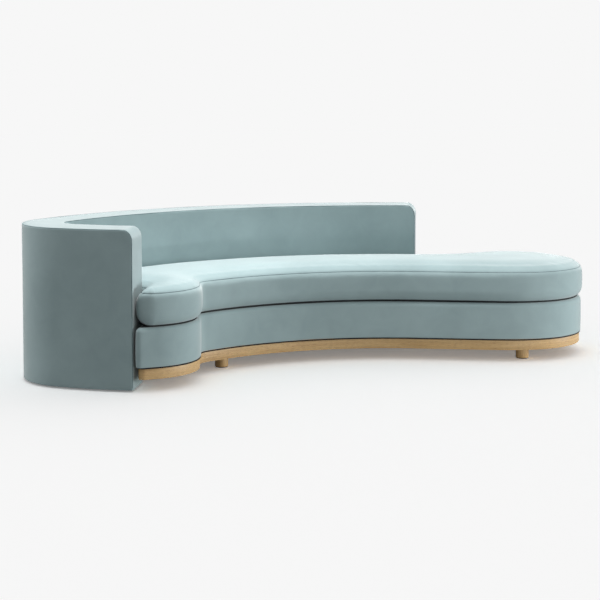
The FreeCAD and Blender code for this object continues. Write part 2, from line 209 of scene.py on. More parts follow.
def growRings(mesh, rings, closed=True):
    # extrudes an outline from ring to ring; each ring has the same number of points
    loop = [mesh.verts.new(point) for point in rings[0]]
    loops = [loop]
    for ring in rings[1:]:
        pairs = list(zip(loop, loop[1:] + loop[:1])) if closed else list(zip(loop, loop[1:]))
        edges = [mesh.edges.get(pair) or mesh.edges.new(pair) for pair in pairs]
        made = bmesh.ops.extrude_edge_only(mesh, edges=edges)["geom"]
        fresh = {part for part in made if isinstance(part, bmesh.types.BMVert)}
        following = []
        for vert in loop:
            following.append(next(e.other_vert(vert) for e in vert.link_edges if e.other_vert(vert) in fresh))
        for vert, point in zip(following, ring):
            vert.co = point
        loop = following
        loops.append(loop)
    return loops


def insideLoop(point, outline):
    inside = False
    last = outline[-1]
    for here in outline:
        if (here.y > point.y) != (last.y > point.y):
            crossing = here.x + (point.y - here.y) * (last.x - here.x) / (last.y - here.y)
            if point.x < crossing:
                inside = not inside
        last = here
    return inside


def fillCap(mesh, loop, heightAt, spacing=None):
    # closes a ring with even triangles, on staggered points where a spacing is given
    outline = [vert.co.xy for vert in loop]
    nearest = kdtree.KDTree(len(outline))
    for index, point in enumerate(outline):
        nearest.insert(point.to_3d(), index)
    nearest.balance()
    points = list(outline)
    if spacing:
        lowX, highX = min(p.x for p in outline), max(p.x for p in outline)
        lowY, highY = min(p.y for p in outline), max(p.y for p in outline)
        rowStep = spacing * math.sqrt(3) / 2
        for row in range(int((highY - lowY) / rowStep) + 1):
            for column in range(int((highX - lowX) / spacing) + 1):
                shift = spacing / 2 if row % 2 else 0
                point = Vector((lowX + shift + column * spacing, lowY + row * rowStep))
                if nearest.find(point.to_3d())[2] > spacing * 0.6 and insideLoop(point, outline):
                    points.append(point)
    count = len(outline)
    rim = [(index, (index + 1) % count) for index in range(count)]
    insideOnly = 1
    made = delaunay_2d_cdt(points, rim, [], insideOnly, 1e-7)
    flat, faces, origins = made[0], made[2], made[3]
    verts = []
    for point, origin in zip(flat, origins):
        onRim = [index for index in origin if index < count]
        verts.append(loop[onRim[0]] if onRim else mesh.verts.new((point.x, point.y, heightAt(point))))
    return [mesh.faces.new([verts[index] for index in face]) for face in faces]


def closeHoles(mesh):
    # caps the open ends of seam cords, oak bands and turned pieces
    rims = [edge for edge in mesh.edges if edge.is_boundary]
    bmesh.ops.holes_fill(mesh, edges=rims, sides=0)


def soften(mesh, amount, size, seed, weight):
    # slight unevenness of hand-padded foam
    mesh.normal_update()
    start = Vector((seed, seed * 0.7, seed * 1.3))
    moves = []
    for vert in mesh.verts:
        broad = noise.noise(vert.co / size + start)
        fine = noise.noise(vert.co / size * 2.3 - start)
        moves.append(vert.normal * amount * (broad + 0.4 * fine) * weight(vert.co))
    for vert, move in zip(mesh.verts, moves):
        vert.co += move


def finishPiece(name, mesh, body, materials, sharp=None, levels=0):
    bmesh.ops.recalc_face_normals(mesh, faces=mesh.faces)
    data = bpy.data.meshes.new(name)
    mesh.to_mesh(data)
    mesh.free()
    data.polygons.foreach_set("use_smooth", [True] * len(data.polygons))
    if sharp:
        data.set_sharp_from_angle(angle=math.radians(sharp))
    for material in materials:
        data.materials.append(material)
    piece = bpy.data.objects.new(name, data)
    bpy.context.scene.collection.objects.link(piece)
    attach(piece, body)
    if levels:
        smoothPiece(piece, levels)
    return piece


def smoothPiece(piece, levels):
    smoother = piece.modifiers.new("smoother", "SUBSURF")
    smoother.levels = levels
    smoother.render_levels = levels


def inflate(piece, held, pressure, frames, limitSide, limitUp):
    # cloth under pressure, held along its seam and foot; the result is kept in the mesh
    group = piece.vertex_groups.new(name="held")
    group.add(held, 1.0, "REPLACE")
    cloth = piece.modifiers.new("filling", "CLOTH")
    cloth.settings.quality = 4
    cloth.settings.mass = 0.3
    cloth.settings.use_pressure = True
    cloth.settings.uniform_pressure_force = pressure
    cloth.settings.tension_stiffness = 25
    cloth.settings.compression_stiffness = 25
    cloth.settings.bending_stiffness = 4
    cloth.settings.vertex_group_mass = "held"
    cloth.settings.effector_weights.gravity = 0
    cloth.collision_settings.use_collision = False
    cloth.point_cache.frame_end = frames
    stage = bpy.context.scene
    for step in range(1, frames + 1):
        stage.frame_set(step)
    blown = piece.evaluated_get(bpy.context.evaluated_depsgraph_get()).data
    moves = [after.co - before.co for before, after in zip(piece.data.vertices, blown.vertices)]
    piece.modifiers.remove(cloth)
    piece.vertex_groups.remove(group)
    stage.frame_set(1)
    widest = max(move.length for move in moves)
    for vert, move in zip(piece.data.vertices, moves):
        flat = move.to_2d()
        if flat.length > limitSide:
            flat *= limitSide / flat.length
        vert.co += Vector((flat.x, flat.y, limitUp * math.tanh(max(0.0, move.z) / limitUp)))
    print("filling moved at most", round(widest, 4))


def nearOutline(points):
    tree = kdtree.KDTree(len(points))
    for index, point in enumerate(points):
        tree.insert((point.x, point.y, 0), index)
    tree.balance()
    return lambda point: tree.find((point.x, point.y, 0))[2]


# Materials
class Wire:
    # a socket that can be reckoned with
    def __init__(self, paint, socket):
        self.paint = paint
        self.socket = socket

    def reckon(self, operation, first, second):
        return self.paint.node("ShaderNodeMath", {"operation": operation}, {0: first, 1: second})

    def __add__(self, other):
        return self.reckon("ADD", self, other)

    __radd__ = __add__

    def __sub__(self, other):
        return self.reckon("SUBTRACT", self, other)

    def __rsub__(self, other):
        return self.reckon("SUBTRACT", other, self)

    def __mul__(self, other):
        return self.reckon("MULTIPLY", self, other)

    __rmul__ = __mul__


class Paint:
    def __init__(self, name):
        self.material = bpy.data.materials.new(name)
        self.material.use_nodes = True
        self.tree = self.material.node_tree
        self.shader = self.tree.nodes["Principled BSDF"]

    def node(self, kind, settings, sockets, output=0):
        made = self.tree.nodes.new(kind)
        for key, value in settings.items():
            if key == "stops":
                ramp = made.color_ramp
                for index, (place, tone) in enumerate(value):
                    stop = ramp.elements[index] if index < 2 else ramp.elements.new(place)
                    stop.position = place
                    stop.color = tone
            else:
                setattr(made, key, value)
        for key, value in sockets.items():
            self.join(made.inputs[key], value)
        return Wire(self, made.outputs[output])

    def join(self, socket, value):
        if isinstance(value, Wire):
            self.tree.links.new(value.socket, socket)
        else:
            socket.default_value = value

    def set(self, **sockets):
        for key, value in sockets.items():
            self.join(self.shader.inputs[key.replace("_", " ")], value)
        return self.material

    def objectSpace(self, stretch=(1, 1, 1)):
        place = self.node("ShaderNodeTexCoord", {}, {}, "Object")
        return self.node("ShaderNodeMapping", {}, {"Vector": place, "Scale": stretch})

    def uvSpace(self, stretch):
        place = self.node("ShaderNodeUVMap", {"uv_map": "grain"}, {})
        return self.node("ShaderNodeMapping", {}, {"Vector": place, "Scale": stretch})

    def cloud(self, place, scale, detail=2.0, rough=0.5, warp=0.0):
        return self.node("ShaderNodeTexNoise", {"noise_dimensions": "3D"},
                         {"Vector": place, "Scale": scale, "Detail": detail, "Roughness": rough,
                          "Distortion": warp}, "Fac")

    def ramp(self, factor, *stops):
        return self.node("ShaderNodeValToRGB", {"stops": stops}, {"Fac": factor}, "Color")

    def blend(self, factor, first, second):
        return self.node("ShaderNodeMix", {"data_type": "RGBA"}, {0: factor, 6: first, 7: second}, 2)

    def bump(self, height, strength, distance):
        return self.node("ShaderNodeBump", {}, {"Height": height, "Strength": strength, "Distance": distance})


def linear(red, green, blue):
    # a colour read in screen values, as the shaders want it
    shades = [((value / 255 + 0.055) / 1.055) ** 2.4 for value in (red, green, blue)]
    return (*shades, 1.0)


def clothPaint(name, deep, mid, pale, sheen, pile):
    # broad and small patches of turned nap, and the fine pile
    paint = Paint(name)
    space = paint.objectSpace()
    broad = paint.cloud(space, 3.1, rough=0.45, warp=0.4)
    patch = paint.cloud(space, 11.0, detail=3.0, rough=0.55, warp=0.8)
    fine = paint.cloud(space, 520.0, rough=0.6)
    nap = broad * 0.55 + patch * 0.33 + fine * 0.12
    tone = paint.ramp(nap, (0.32, linear(*deep)), (0.5, linear(*mid)), (0.7, linear(*pale)))
    paint.set(Base_Color=tone, Roughness=0.78 + 0.16 * patch, Normal=paint.bump(fine, 0.22, pile))
    paint.set(Sheen_Weight=sheen, Sheen_Roughness=0.38, Sheen_Tint=(1.0, 0.985, 0.97, 1.0))
    paint.set(Specular_IOR_Level=0.12)
    return paint.material


def oakPaint(name):
    # grain along the wood: broad waves, streaks, dark pores and pale flecks
    paint = Paint(name)
    wave = paint.cloud(paint.uvSpace((1.0, 24.0, 24.0)), 2.6, detail=4.0, rough=0.55, warp=0.6)
    streak = paint.cloud(paint.uvSpace((2.2, 150.0, 150.0)), 3.0, detail=3.0, rough=0.6)
    pores = paint.cloud(paint.uvSpace((18.0, 900.0, 900.0)), 2.0, detail=1.0)
    flecks = paint.cloud(paint.uvSpace((30.0, 120.0, 120.0)), 1.4, detail=1.0, rough=0.4)
    figure = wave * 0.55 + streak * 0.45
    wood = paint.ramp(figure, (0.30, linear(148, 116, 72)), (0.47, linear(180, 148, 100)),
                      (0.56, linear(188, 157, 109)), (0.72, linear(202, 172, 124)))
    gate = paint.ramp(pores, (0.30, (1, 1, 1, 1)), (0.42, (0, 0, 0, 1)))
    dark = paint.blend(gate, wood, linear(116, 90, 60))
    shine = paint.ramp(flecks, (0.66, (0, 0, 0, 1)), (0.74, (0.35, 0.35, 0.35, 1)))
    tone = paint.blend(shine, dark, linear(196, 174, 138))
    relief = paint.bump(pores + streak, 0.12, 0.0006)
    paint.set(Base_Color=tone, Roughness=0.40 + 0.18 * streak, Normal=relief, Specular_IOR_Level=0.4)
    return paint.material


def plainPaint(name, low, high, scale, rough, metal=0.0, stretch=(1, 1, 1), relief=0.0):
    paint = Paint(name)
    mottle = paint.cloud(paint.objectSpace(stretch), scale, detail=3.0, rough=0.55, warp=0.3)
    tone = paint.ramp(mottle, (0.3, linear(*low)), (0.7, linear(*high)))
    paint.set(Base_Color=tone, Roughness=rough + 0.12 * mottle, Metallic=metal)
    if relief:
        paint.set(Normal=paint.bump(mottle, 0.3, relief))
    return paint.material


def webPaint(name):
    paint = Paint(name)
    space = paint.objectSpace()
    across = paint.node("ShaderNodeTexWave", {"wave_type": "BANDS", "bands_direction": "X"},
                        {"Vector": space, "Scale": 90.0}, "Fac")
    along = paint.node("ShaderNodeTexWave", {"wave_type": "BANDS", "bands_direction": "Y"},
                       {"Vector": space, "Scale": 90.0}, "Fac")
    weave = across * along
    tone = paint.ramp(weave, (0.1, linear(46, 44, 40)), (0.8, linear(92, 88, 80)))
    return paint.set(Base_Color=tone, Roughness=0.82, Normal=paint.bump(weave, 0.4, 0.0008))


velvet = clothPaint("velvetNap", (135, 154, 156), (142, 161, 163), (149, 168, 170),
                    sheen=0.50, pile=0.0007)
# seam cords: velvet darker than the rest, painted shade standing for the shade along each seam
seamShadedVelvet = clothPaint("seamClothPaintedShade", (92, 108, 111), (102, 119, 122), (112, 130, 133),
                        sheen=0.2, pile=0.0004)
# dark lining for the undersides; the same dark cloth on the strip in the gap over the oak is painted shade
liningAndGapShade = clothPaint("liningClothAndGapShade", (30, 31, 32), (37, 38, 39), (44, 45, 46), sheen=0.05, pile=0.0006)
# platform and non-slip cloth; where it shows in the groove between cushion and base, its dark tone is painted
# shade
deckClothAndGrooveShade = clothPaint("deckClothAndGrooveShade", (50, 54, 56), (58, 62, 64), (66, 70, 72), sheen=0.05, pile=0.0005)
oak = oakPaint("oakBand")
felt = plainPaint("feltPad", (52, 46, 40), (70, 62, 54), 240.0, 0.85, relief=0.0006)
plastic = plainPaint("glidePlastic", (34, 34, 35), (46, 46, 47), 60.0, 0.42)
slots = {"beech": plainPaint("beechWood", (186, 150, 108), (206, 172, 130), 9.0, 0.55, stretch=(1, 1, 7)),
         "plywood": plainPaint("plywood", (190, 160, 118), (214, 186, 146), 7.0, 0.6, stretch=(1, 6, 6)),
         "steel": plainPaint("zincSteel", (150, 152, 156), (186, 188, 192), 80.0, 0.3, metal=1.0),
         "webbing": webPaint("webbing"),
         "plastic": plastic}
print("stage: materials")

# Wall: one padded skin swept round the back, the corner and the arm
wallSizes = {"foot": 0.0086, "top": 0.720, "edge": 0.008, "armEnd": 0.048, "backEnd": 0.052,
             "spacing": 0.015, "rise": 0.024, "plainFrom": 0.02, "plainTo": 0.06,
             "topDepths": (0.050, 0.040, 0.030, 0.022, 0.016, 0.012, 0.009, 0.006, 0.0037, 0.002, 0.0009),
             "topInsets": (0.014, 0.028, 0.050, 0.074, 0.090),
             "uneven": (0.0016, 0.20, 3.1), "calmTo": 0.02, "calmRun": 0.1}  # uneven: amount, size, seed
# how the cloth turns under at the foot of the wall and the base: inset, rise
hemRings = ((0.020, 0.0), (0.0045, 0.0), (0.0012, 0.0009), (0.0, 0.0035))


def roundInset(radius, depth):
    # how far a rounded edge stands back, that far below its top
    if depth >= radius:
        return 0.0
    return radius - math.sqrt(radius ** 2 - (radius - depth) ** 2)


def wallLevel(height, inset=None):
    depth = wallSizes["top"] - height
    along = roundInset(wallSizes["edge"], depth) if inset is None else inset
    extra = 0.0 if inset is None else inset - wallSizes["edge"]
    armTrim = roundInset(wallSizes["armEnd"], depth) + extra
    backTrim = roundInset(wallSizes["backEnd"], depth) + extra
    return wallRuns(along, armTrim, backTrim, wallSizes["edge"])


def buildWall():
    foot, top, edge = wallSizes["foot"], wallSizes["top"], wallSizes["edge"]
    counts = stepCounts(wallRuns(0.0, 0.0, 0.0, edge), wallSizes["spacing"])
    levels = [(wallRuns(inset, inset, inset, edge), foot + rise) for inset, rise in hemRings]
    low, high = foot + wallSizes["plainFrom"], top - wallSizes["plainTo"]
    steps = round((high - low) / wallSizes["rise"])
    for step in range(steps + 1):
        height = low + (high - low) * step / steps
        levels.append((wallLevel(height), height))
    for depth in wallSizes["topDepths"]:
        levels.append((wallLevel(top - depth), top - depth))
    for inset in wallSizes["topInsets"]:
        levels.append((wallLevel(top, inset), top))
    mesh = bmesh.new()
    loops = growRings(mesh, [walk(runs, counts, height) for runs, height in levels])
    fillCap(mesh, loops[-1], lambda point: top)
    for face in fillCap(mesh, loops[0], lambda point: foot):
        face.material_index = 1
    bmesh.ops.recalc_face_normals(mesh, faces=mesh.faces)
    calmTo, calmRun = wallSizes["calmTo"], wallSizes["calmRun"]
    soften(mesh, *wallSizes["uneven"], lambda point: clamp((point.z - calmTo) / calmRun))
    return finishPiece("wallUpholstery", mesh, "sofa", [velvet, liningAndGapShade], levels=1)


wall = buildWall()
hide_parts("wall_cover", "wall_inner_foam", "wall_top_foam", "arm_end_foam", "back_end_foam")
print("stage: wall")

# Base: padded box under the cushion, rounded along its upper edge
baseSizes = {"foot": 0.1112, "top": 0.2892, "round": 0.024, "gap": 0.0005, "ear": 0.019, "earGap": 0.012,
             "spacing": 0.014, "plainFrom": 0.012, "belly": 0.0012, "deckIn": 0.040, "deckShadeEdge": 0.0012,
             "deckSpacing": 0.04, "uneven": (0.0009, 0.16, 7.7), "unevenTo": 0.27}


def baseRuns(inset):
    return seatRuns(-inset, baseSizes["gap"] + max(inset, 0.0), baseSizes["ear"], baseSizes["earGap"])


def buildBase():
    foot, top, upper = baseSizes["foot"], baseSizes["top"], baseSizes["round"]
    counts = stepCounts(baseRuns(0), baseSizes["spacing"])
    levels = [(inset, foot + rise) for inset, rise in hemRings]
    low = foot + baseSizes["plainFrom"]
    straight = top - upper - low
    for step in range(9):
        share = step / 8
        levels.append((-baseSizes["belly"] * math.sin(math.pi * share), low + straight * share))
    for angle in range(15, 91, 15):
        turned = math.radians(angle)
        levels.append((upper * (1 - math.cos(turned)), top - upper + upper * math.sin(turned)))
    levels.append((baseSizes["deckIn"], top))
    mesh = bmesh.new()
    loops = growRings(mesh, [walk(baseRuns(inset), counts, height) for inset, height in levels])
    fillCap(mesh, loops[-1], lambda point: top, baseSizes["deckSpacing"])
    # platform cloth inside the rounded edge; it reaches up to the top of the rounding, so its dark tone shows
    # in the groove under the cushion's lip as painted shade
    for face in mesh.faces:
        if face.calc_center_median().z > top - baseSizes["deckShadeEdge"]:
            face.material_index = 1
    for face in fillCap(mesh, loops[0], lambda point: foot):
        face.material_index = 2
    bmesh.ops.recalc_face_normals(mesh, faces=mesh.faces)
    soften(mesh, *baseSizes["uneven"], lambda point: 1.0 if point.z < baseSizes["unevenTo"] else 0.0)
    return finishPiece("baseUpholstery", mesh, "sofa", [velvet, deckClothAndGrooveShade, liningAndGapShade], levels=1)


base = buildBase()
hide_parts("base_cover", "base_pad")
print("stage: base")

# Cushion: one loose foam cushion with a soft lower lip, a seam round the top and a low crown
cushionSizes = {
    "foot": 0.290, "footIn": 0.004, "lip": 0.040, "lipRise": 0.046, "bulge": 0.006, "gap": 0.004,
    "seam": 0.438, "drawIn": 0.0115, "drawRun": 0.0105, "seamIn": 0.0004, "seamRise": 0.0024,
    "crown": 0.034, "crownFoot": 0.002, "crownStart": 0.001, "run": 0.085, "shoulder": 0.75,
    "dome": 0.003, "domeRun": 0.34, "spacing": 0.013, "topSpacing": 0.024,
    "sideDepths": (0.102, 0.088, 0.074, 0.060, 0.048, 0.038, 0.029, 0.021, 0.0145, 0.0095, 0.0058,
                   0.0030, 0.0012, 0),
    "crownInsets": (0.0018, 0.0044, 0.008, 0.0125, 0.018, 0.025, 0.032),
    "ear": 0.052, "earReach": 0.110, "earIn": 0.017, "earOut": 0.0072, "earOver": 0.012,
    "earFrom": 0.01, "earRamp": 0.05, "earSwell": 0.7,
    "clothUnder": 0.004, "uneven": (0.0014, 0.17, 12.3), "unevenFrom": 0.02,
    "pucker": (0.0011, 0.024, 5.2), "puckerRun": 0.016, "heldTo": 0.006, "pressure": 4.0,
    "frames": 16, "quickFrames": 6, "sideMost": 0.0012, "riseMost": 0.009, "evenFrom": 0.006, "evenSteps": 8}


def cushionRuns(out):
    return seatRuns(out, cushionSizes["gap"] + cushionSizes["bulge"] - out, cushionSizes["ear"])


def crownHeight(distance):
    # a quick rise from the seam, then a low dome to the middle of the seat
    foot = cushionSizes["crownFoot"]
    share = clamp(distance / cushionSizes["run"])
    over = clamp(distance / cushionSizes["domeRun"])
    rise = (cushionSizes["crown"] - foot) * (1 - (1 - share) ** 2) ** cushionSizes["shoulder"]
    return cushionSizes["seam"] + foot + rise + cushionSizes["dome"] * (1 - (1 - over) ** 2)


def roundEar(mesh):
    # the end against the arm is a soft half round: proud at half height, drawn in at seam and foot
    foot, top = cushionSizes["foot"], cushionSizes["seam"] + cushionSizes["earOver"]
    face = armCentre + armAhead * (plan["earGap"] - cushionSizes["bulge"])
    for vert in mesh.verts:
        ahead = (vert.co.xy - face).dot(armAhead)
        outward = (vert.co.xy - armCentre).dot(armOutward) - (plan["armRadius"] - thick)
        near = 1 - clamp(ahead / cushionSizes["earReach"])
        aside = clamp((outward + cushionSizes["earFrom"]) / cushionSizes["earRamp"])
        weight = near * near * (3 - 2 * near) * aside
        level = clamp((vert.co.z - foot) / (top - foot))
        swell = math.sin(math.pi * level) ** cushionSizes["earSwell"]
        shift = cushionSizes["earIn"] * (1 - swell) - cushionSizes["earOut"] * swell
        vert.co += (armAhead * shift * weight).to_3d()


def evenTop(piece, above):
    # takes the small steps out of the blown-up top, height only
    mesh = bmesh.new()
    mesh.from_mesh(piece.data)
    upper = [vert for vert in mesh.verts if vert.co.z > above]
    for step in range(cushionSizes["evenSteps"]):
        bmesh.ops.smooth_vert(mesh, verts=upper, factor=0.5, use_axis_z=True)
    mesh.to_mesh(piece.data)
    mesh.free()


def buildCushion():
    foot, seam = cushionSizes["foot"], cushionSizes["seam"]
    lip, rise, bulge = cushionSizes["lip"], cushionSizes["lipRise"], cushionSizes["bulge"]
    counts = stepCounts(cushionRuns(0), cushionSizes["spacing"])
    levels = [(bulge - lip - cushionSizes["footIn"], foot)]
    for angle in range(0, 76, 15):
        turned = math.radians(angle)
        levels.append((bulge - lip * (1 - math.sin(turned)), foot + rise * (1 - math.cos(turned))))
    drawn = cushionSizes["drawIn"]
    for depth in cushionSizes["sideDepths"]:
        levels.append((bulge - drawn * math.exp(-depth / cushionSizes["drawRun"]), seam - depth))
    seamAt = len(levels) - 1
    levels.append((bulge - drawn - cushionSizes["seamIn"], seam + cushionSizes["seamRise"]))
    for inward in cushionSizes["crownInsets"]:
        levels.append((bulge - drawn - inward, crownHeight(inward)))
    rings = [walk(cushionRuns(out), counts, height) for out, height in levels]
    mesh = bmesh.new()
    loops = growRings(mesh, rings)
    distance = nearOutline(rings[seamAt + 1])
    start = cushionSizes["crownStart"]
    fillCap(mesh, loops[-1], lambda point: crownHeight(distance(point) + start), cushionSizes["topSpacing"])
    fillCap(mesh, loops[0], lambda point: foot)
    # non-slip cloth underneath
    for face in mesh.faces:
        if face.calc_center_median().z < foot + cushionSizes["clothUnder"]:
            face.material_index = 1
    bmesh.ops.recalc_face_normals(mesh, faces=mesh.faces)
    roundEar(mesh)
    low, puckerRun = foot + cushionSizes["unevenFrom"], cushionSizes["puckerRun"]
    soften(mesh, *cushionSizes["uneven"], lambda point: 1.0 if point.z > low else 0.0)
    soften(mesh, *cushionSizes["pucker"], lambda point: math.exp(-((point.z - seam) / puckerRun) ** 2))
    mesh.verts.index_update()
    seamRing = [vert.index for vert in loops[seamAt]]
    held = [vert.index for vert in mesh.verts if vert.co.z < foot + cushionSizes["heldTo"]] + seamRing
    piece = finishPiece("seatCushion", mesh, "cushion", [velvet, deckClothAndGrooveShade])
    frames = cushionSizes["frames"]
    inflate(piece, held, cushionSizes["pressure"], frames, cushionSizes["sideMost"], cushionSizes["riseMost"])
    evenTop(piece, seam + cushionSizes["evenFrom"])
    smoothPiece(piece, 1)
    return piece, [piece.data.vertices[index].co.copy() for index in seamRing]


cushion, cushionSeamPath = buildCushion()
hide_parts("cushion_cover", "cushion_core", "cushion_fibre")
print("stage: cushion")

# Seams: fine sewn lines, half sunk in the cloth, in a darker velvet that paints the shade along them
seamSizes = {"radius": 0.0016, "sides": 6, "belowTop": 0.002, "spacing": 0.02,
             "endDepths": (0.002, 0.005, 0.009, 0.014, 0.021, 0.030, 0.041, 0.06, 0.11, 0.16, 0.21, 0.26,
                           0.31, 0.36, 0.41, 0.46, 0.51, 0.56, 0.61, 0.66, 0.700),
             "panelAt": (83, 106), "panelFrom": 0.012, "panelStep": 0.028, "panelPoints": 25}


def buildSeam(name, paths, body, closed):
    mesh = bmesh.new()
    for path in paths:
        count = len(path)
        rings = []
        for index, point in enumerate(path):
            before = path[index - 1] if closed or index else path[0]
            after = path[(index + 1) % count] if closed or index < count - 1 else path[-1]
            ahead = (after - before).normalized()
            upright = abs(ahead.z) > 0.9
            side = (ahead.orthogonal() if upright else ahead.cross((0, 0, 1))).normalized()
            lift = side.cross(ahead)
            ring = []
            for step in range(seamSizes["sides"]):
                turned = math.tau * step / seamSizes["sides"]
                ring.append(point + (side * math.cos(turned) + lift * math.sin(turned)) * seamSizes["radius"])
            rings.append(ring)
        growRings(mesh, rings + rings[:1] if closed else rings)
    bmesh.ops.remove_doubles(mesh, verts=mesh.verts, dist=1e-6)
    closeHoles(mesh)
    return finishPiece(name, mesh, body, [seamShadedVelvet])


def wallSeam(armRun, topRuns, backRun):
    # up the arm's end, along the top edge and down the back's end
    top = wallSizes["top"]
    points = []
    for depth in reversed(seamSizes["endDepths"]):
        points.append(lifted(onRun(wallLevel(top - depth)[armRun], 0.5), top - depth))
    height = top - seamSizes["belowTop"]
    level = wallLevel(height)
    for index in topRuns:
        count = max(8, round(runLength(level[index]) / seamSizes["spacing"]))
        for step in range(1, count):
            share = step / count if index > 5 else 1 - step / count  # the outer runs go the other way
            points.append(lifted(onRun(level[index], share), height))
    for depth in seamSizes["endDepths"]:
        points.append(lifted(onRun(wallLevel(top - depth)[backRun], 0.5), top - depth))
    return points


def panelSeam(angle):
    # an upright join between two lengths of cloth on the outside of the back
    spot = polar(backCentre, backRadius, angle)
    low, gap = seamSizes["panelFrom"], seamSizes["panelStep"]
    return [lifted(spot, low + gap * step) for step in range(seamSizes["panelPoints"])]


buildSeam("cushionSeam", [cushionSeamPath], "cushion", True)
buildSeam("panelSeams", [panelSeam(angle) for angle in seamSizes["panelAt"]], "sofa", False)
buildSeam("wallSeams", [wallSeam(3, (2, 1, 0), 11), wallSeam(5, (6, 7, 8), 9)], "sofa", False)
print("stage: seams")

# Oak band under the base, bent in two lengths, its edges eased
bandSizes = {"ear": 0.028, "gap": 0.0005, "foot": 0.057, "top": 0.1064, "near": 0.006, "far": 0.024,
             "ease": 0.0022, "spacing": 0.012}
# the painted-shade strip's cross-section: inset, height
stripSizes = {"section": ((0.030, 0.1054), (0.0022, 0.1054), (0.0014, 0.1062), (0.0014, 0.1112),
                          (0.0022, 0.1118), (0.030, 0.1118))}


def bandRuns(inset):
    return seatRuns(-inset, bandSizes["gap"] + inset, bandSizes["ear"])


def buildBand(name, first, last):
    foot, top, near, far, ease = (bandSizes[key] for key in ("foot", "top", "near", "far", "ease"))
    corners = [(near + ease, foot + ease, 180), (far - ease, foot + ease, 270), (far - ease, top - ease, 0),
               (near + ease, top - ease, 90)]
    profile = []
    for inset, height, start in corners:
        for step in range(4):
            turned = math.radians(start + 30 * step)
            profile.append((inset + ease * math.cos(turned), height + ease * math.sin(turned)))
    counts = stepCounts(bandRuns(0)[first:last], bandSizes["spacing"])
    rings = []
    for inset, height in profile + profile[:1]:
        rings.append(walk(bandRuns(inset)[first:last], counts, height, True))
    mesh = bmesh.new()
    loops = growRings(mesh, rings, False)
    outer = rings[0]
    lengths = [0.0]
    for here, after in zip(outer, outer[1:]):
        lengths.append(lengths[-1] + (after - here).length)
    girth = [0.0]
    for here, after in zip(profile, profile[1:] + profile[:1]):
        girth.append(girth[-1] + math.dist(here, after))
    layer = mesh.loops.layers.uv.new("grain")
    place = {}
    for ring, around in zip(loops, girth):
        for vert, along in zip(ring, lengths):
            place[vert] = (along, around)
    for face in mesh.faces:
        for corner in face.loops:
            corner[layer].uv = place[corner.vert]
    bmesh.ops.remove_doubles(mesh, verts=mesh.verts, dist=1e-6)
    closeHoles(mesh)
    return finishPiece(name, mesh, "sofa", [oak], sharp=35)


def buildStrip():
    # dark strip in the gap over the oak, painted shade standing for the shadow in that gap
    counts = stepCounts(bandRuns(0), bandSizes["spacing"])
    section = stripSizes["section"]
    mesh = bmesh.new()
    growRings(mesh, [walk(bandRuns(inset), counts, height) for inset, height in section + section[:1]])
    bmesh.ops.remove_doubles(mesh, verts=mesh.verts, dist=1e-6)
    return finishPiece("paintedShadowStrip", mesh, "sofa", [liningAndGapShade], sharp=40)


buildStrip()
bandFront = buildBand("plinthBandFront", 0, 8)
bandRear = buildBand("plinthBandRear", 8, 15)
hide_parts("plinth_front")
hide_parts("plinth_rear")
print("stage: plinth")

# Turned oak feet on felt pads, and the wall's plastic glides
footSizes = {"radius": 0.032, "top": 0.057, "pad": 0.004, "padRadius": 0.0295, "ease": 0.003,
             "padEase": 0.001, "sides": 48, "frontLeft": (1.303, 105), "frontRight": (0.240, -108.2),
             "rearRight": (0.240, 75), "rearLeft": (1.6085, 113)}
footPlaces = [polar(backCentre, *footSizes["frontLeft"]), polar(endCentre, *footSizes["frontRight"]),
              polar(endCentre, *footSizes["rearRight"]), polar(backCentre, *footSizes["rearLeft"])]
glideSizes = {"radius": 0.020, "height": 0.010, "ease": 0.003, "inside": 0.07185, "sides": 32,
              "backAt": (67.8, 90, 112.2), "armAt": 232.6}
glidePlaces = [polar(backCentre, backRadius - glideSizes["inside"], angle) for angle in glideSizes["backAt"]]
glidePlaces.append(polar(armCentre, plan["armRadius"] - glideSizes["inside"], glideSizes["armAt"]))
poleRadius = 0.0005  # small ring at each pole, capped by closeHoles


def spinProfile(mesh, profile, centre, sides):
    # turns a (radius, height) profile into a round piece standing at centre
    verts = [mesh.verts.new((centre.x + radius, centre.y, height)) for radius, height in profile]
    edges = [mesh.edges.new(pair) for pair in zip(verts, verts[1:])]
    bmesh.ops.spin(mesh, geom=verts + edges, cent=centre.to_3d(), axis=(0, 0, 1), dvec=(0, 0, 0),
                   angle=math.tau, steps=sides, use_merge=True, use_duplicate=False)


def easedProfile(radius, low, high, ease):
    points = [(poleRadius, low), (radius - ease, low)]
    for step in range(1, 4):
        turned = math.radians(step * 30)
        points.append((radius - ease + ease * math.sin(turned), low + ease - ease * math.cos(turned)))
    for step in range(4):
        turned = math.radians(step * 30)
        points.append((radius - ease + ease * math.cos(turned), high - ease + ease * math.sin(turned)))
    return points + [(poleRadius, high)]


def buildRound(name, places, radius, low, high, ease, sides, material, grain=False):
    mesh = bmesh.new()
    for centre in places:
        spinProfile(mesh, easedProfile(radius, low, high, ease), centre, sides)
    bmesh.ops.remove_doubles(mesh, verts=mesh.verts, dist=1e-6)
    closeHoles(mesh)
    if grain:
        layer = mesh.loops.layers.uv.new("grain")
        for face in mesh.faces:
            for corner in face.loops:
                spot = corner.vert.co
                centre = min(places, key=lambda p: (p - spot.xy).length)
                turned = math.atan2(spot.y - centre.y, spot.x - centre.x)
                corner[layer].uv = (spot.z + centre.x, abs(turned) * radius + centre.y)
    return finishPiece(name, mesh, "sofa", [material], sharp=40)


feet = buildRound("feetTurned", footPlaces, footSizes["radius"], footSizes["pad"], footSizes["top"],
                  footSizes["ease"], footSizes["sides"], oak, True)
buildRound("footPads", footPlaces, footSizes["padRadius"], 0.0, footSizes["pad"], footSizes["padEase"],
           footSizes["sides"], felt)
glides = buildRound("wallGlides", glidePlaces, glideSizes["radius"], 0.0, glideSizes["height"],
                    glideSizes["ease"], glideSizes["sides"], plastic)
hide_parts("feet")
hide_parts("wall_glides")
print("stage: feet")

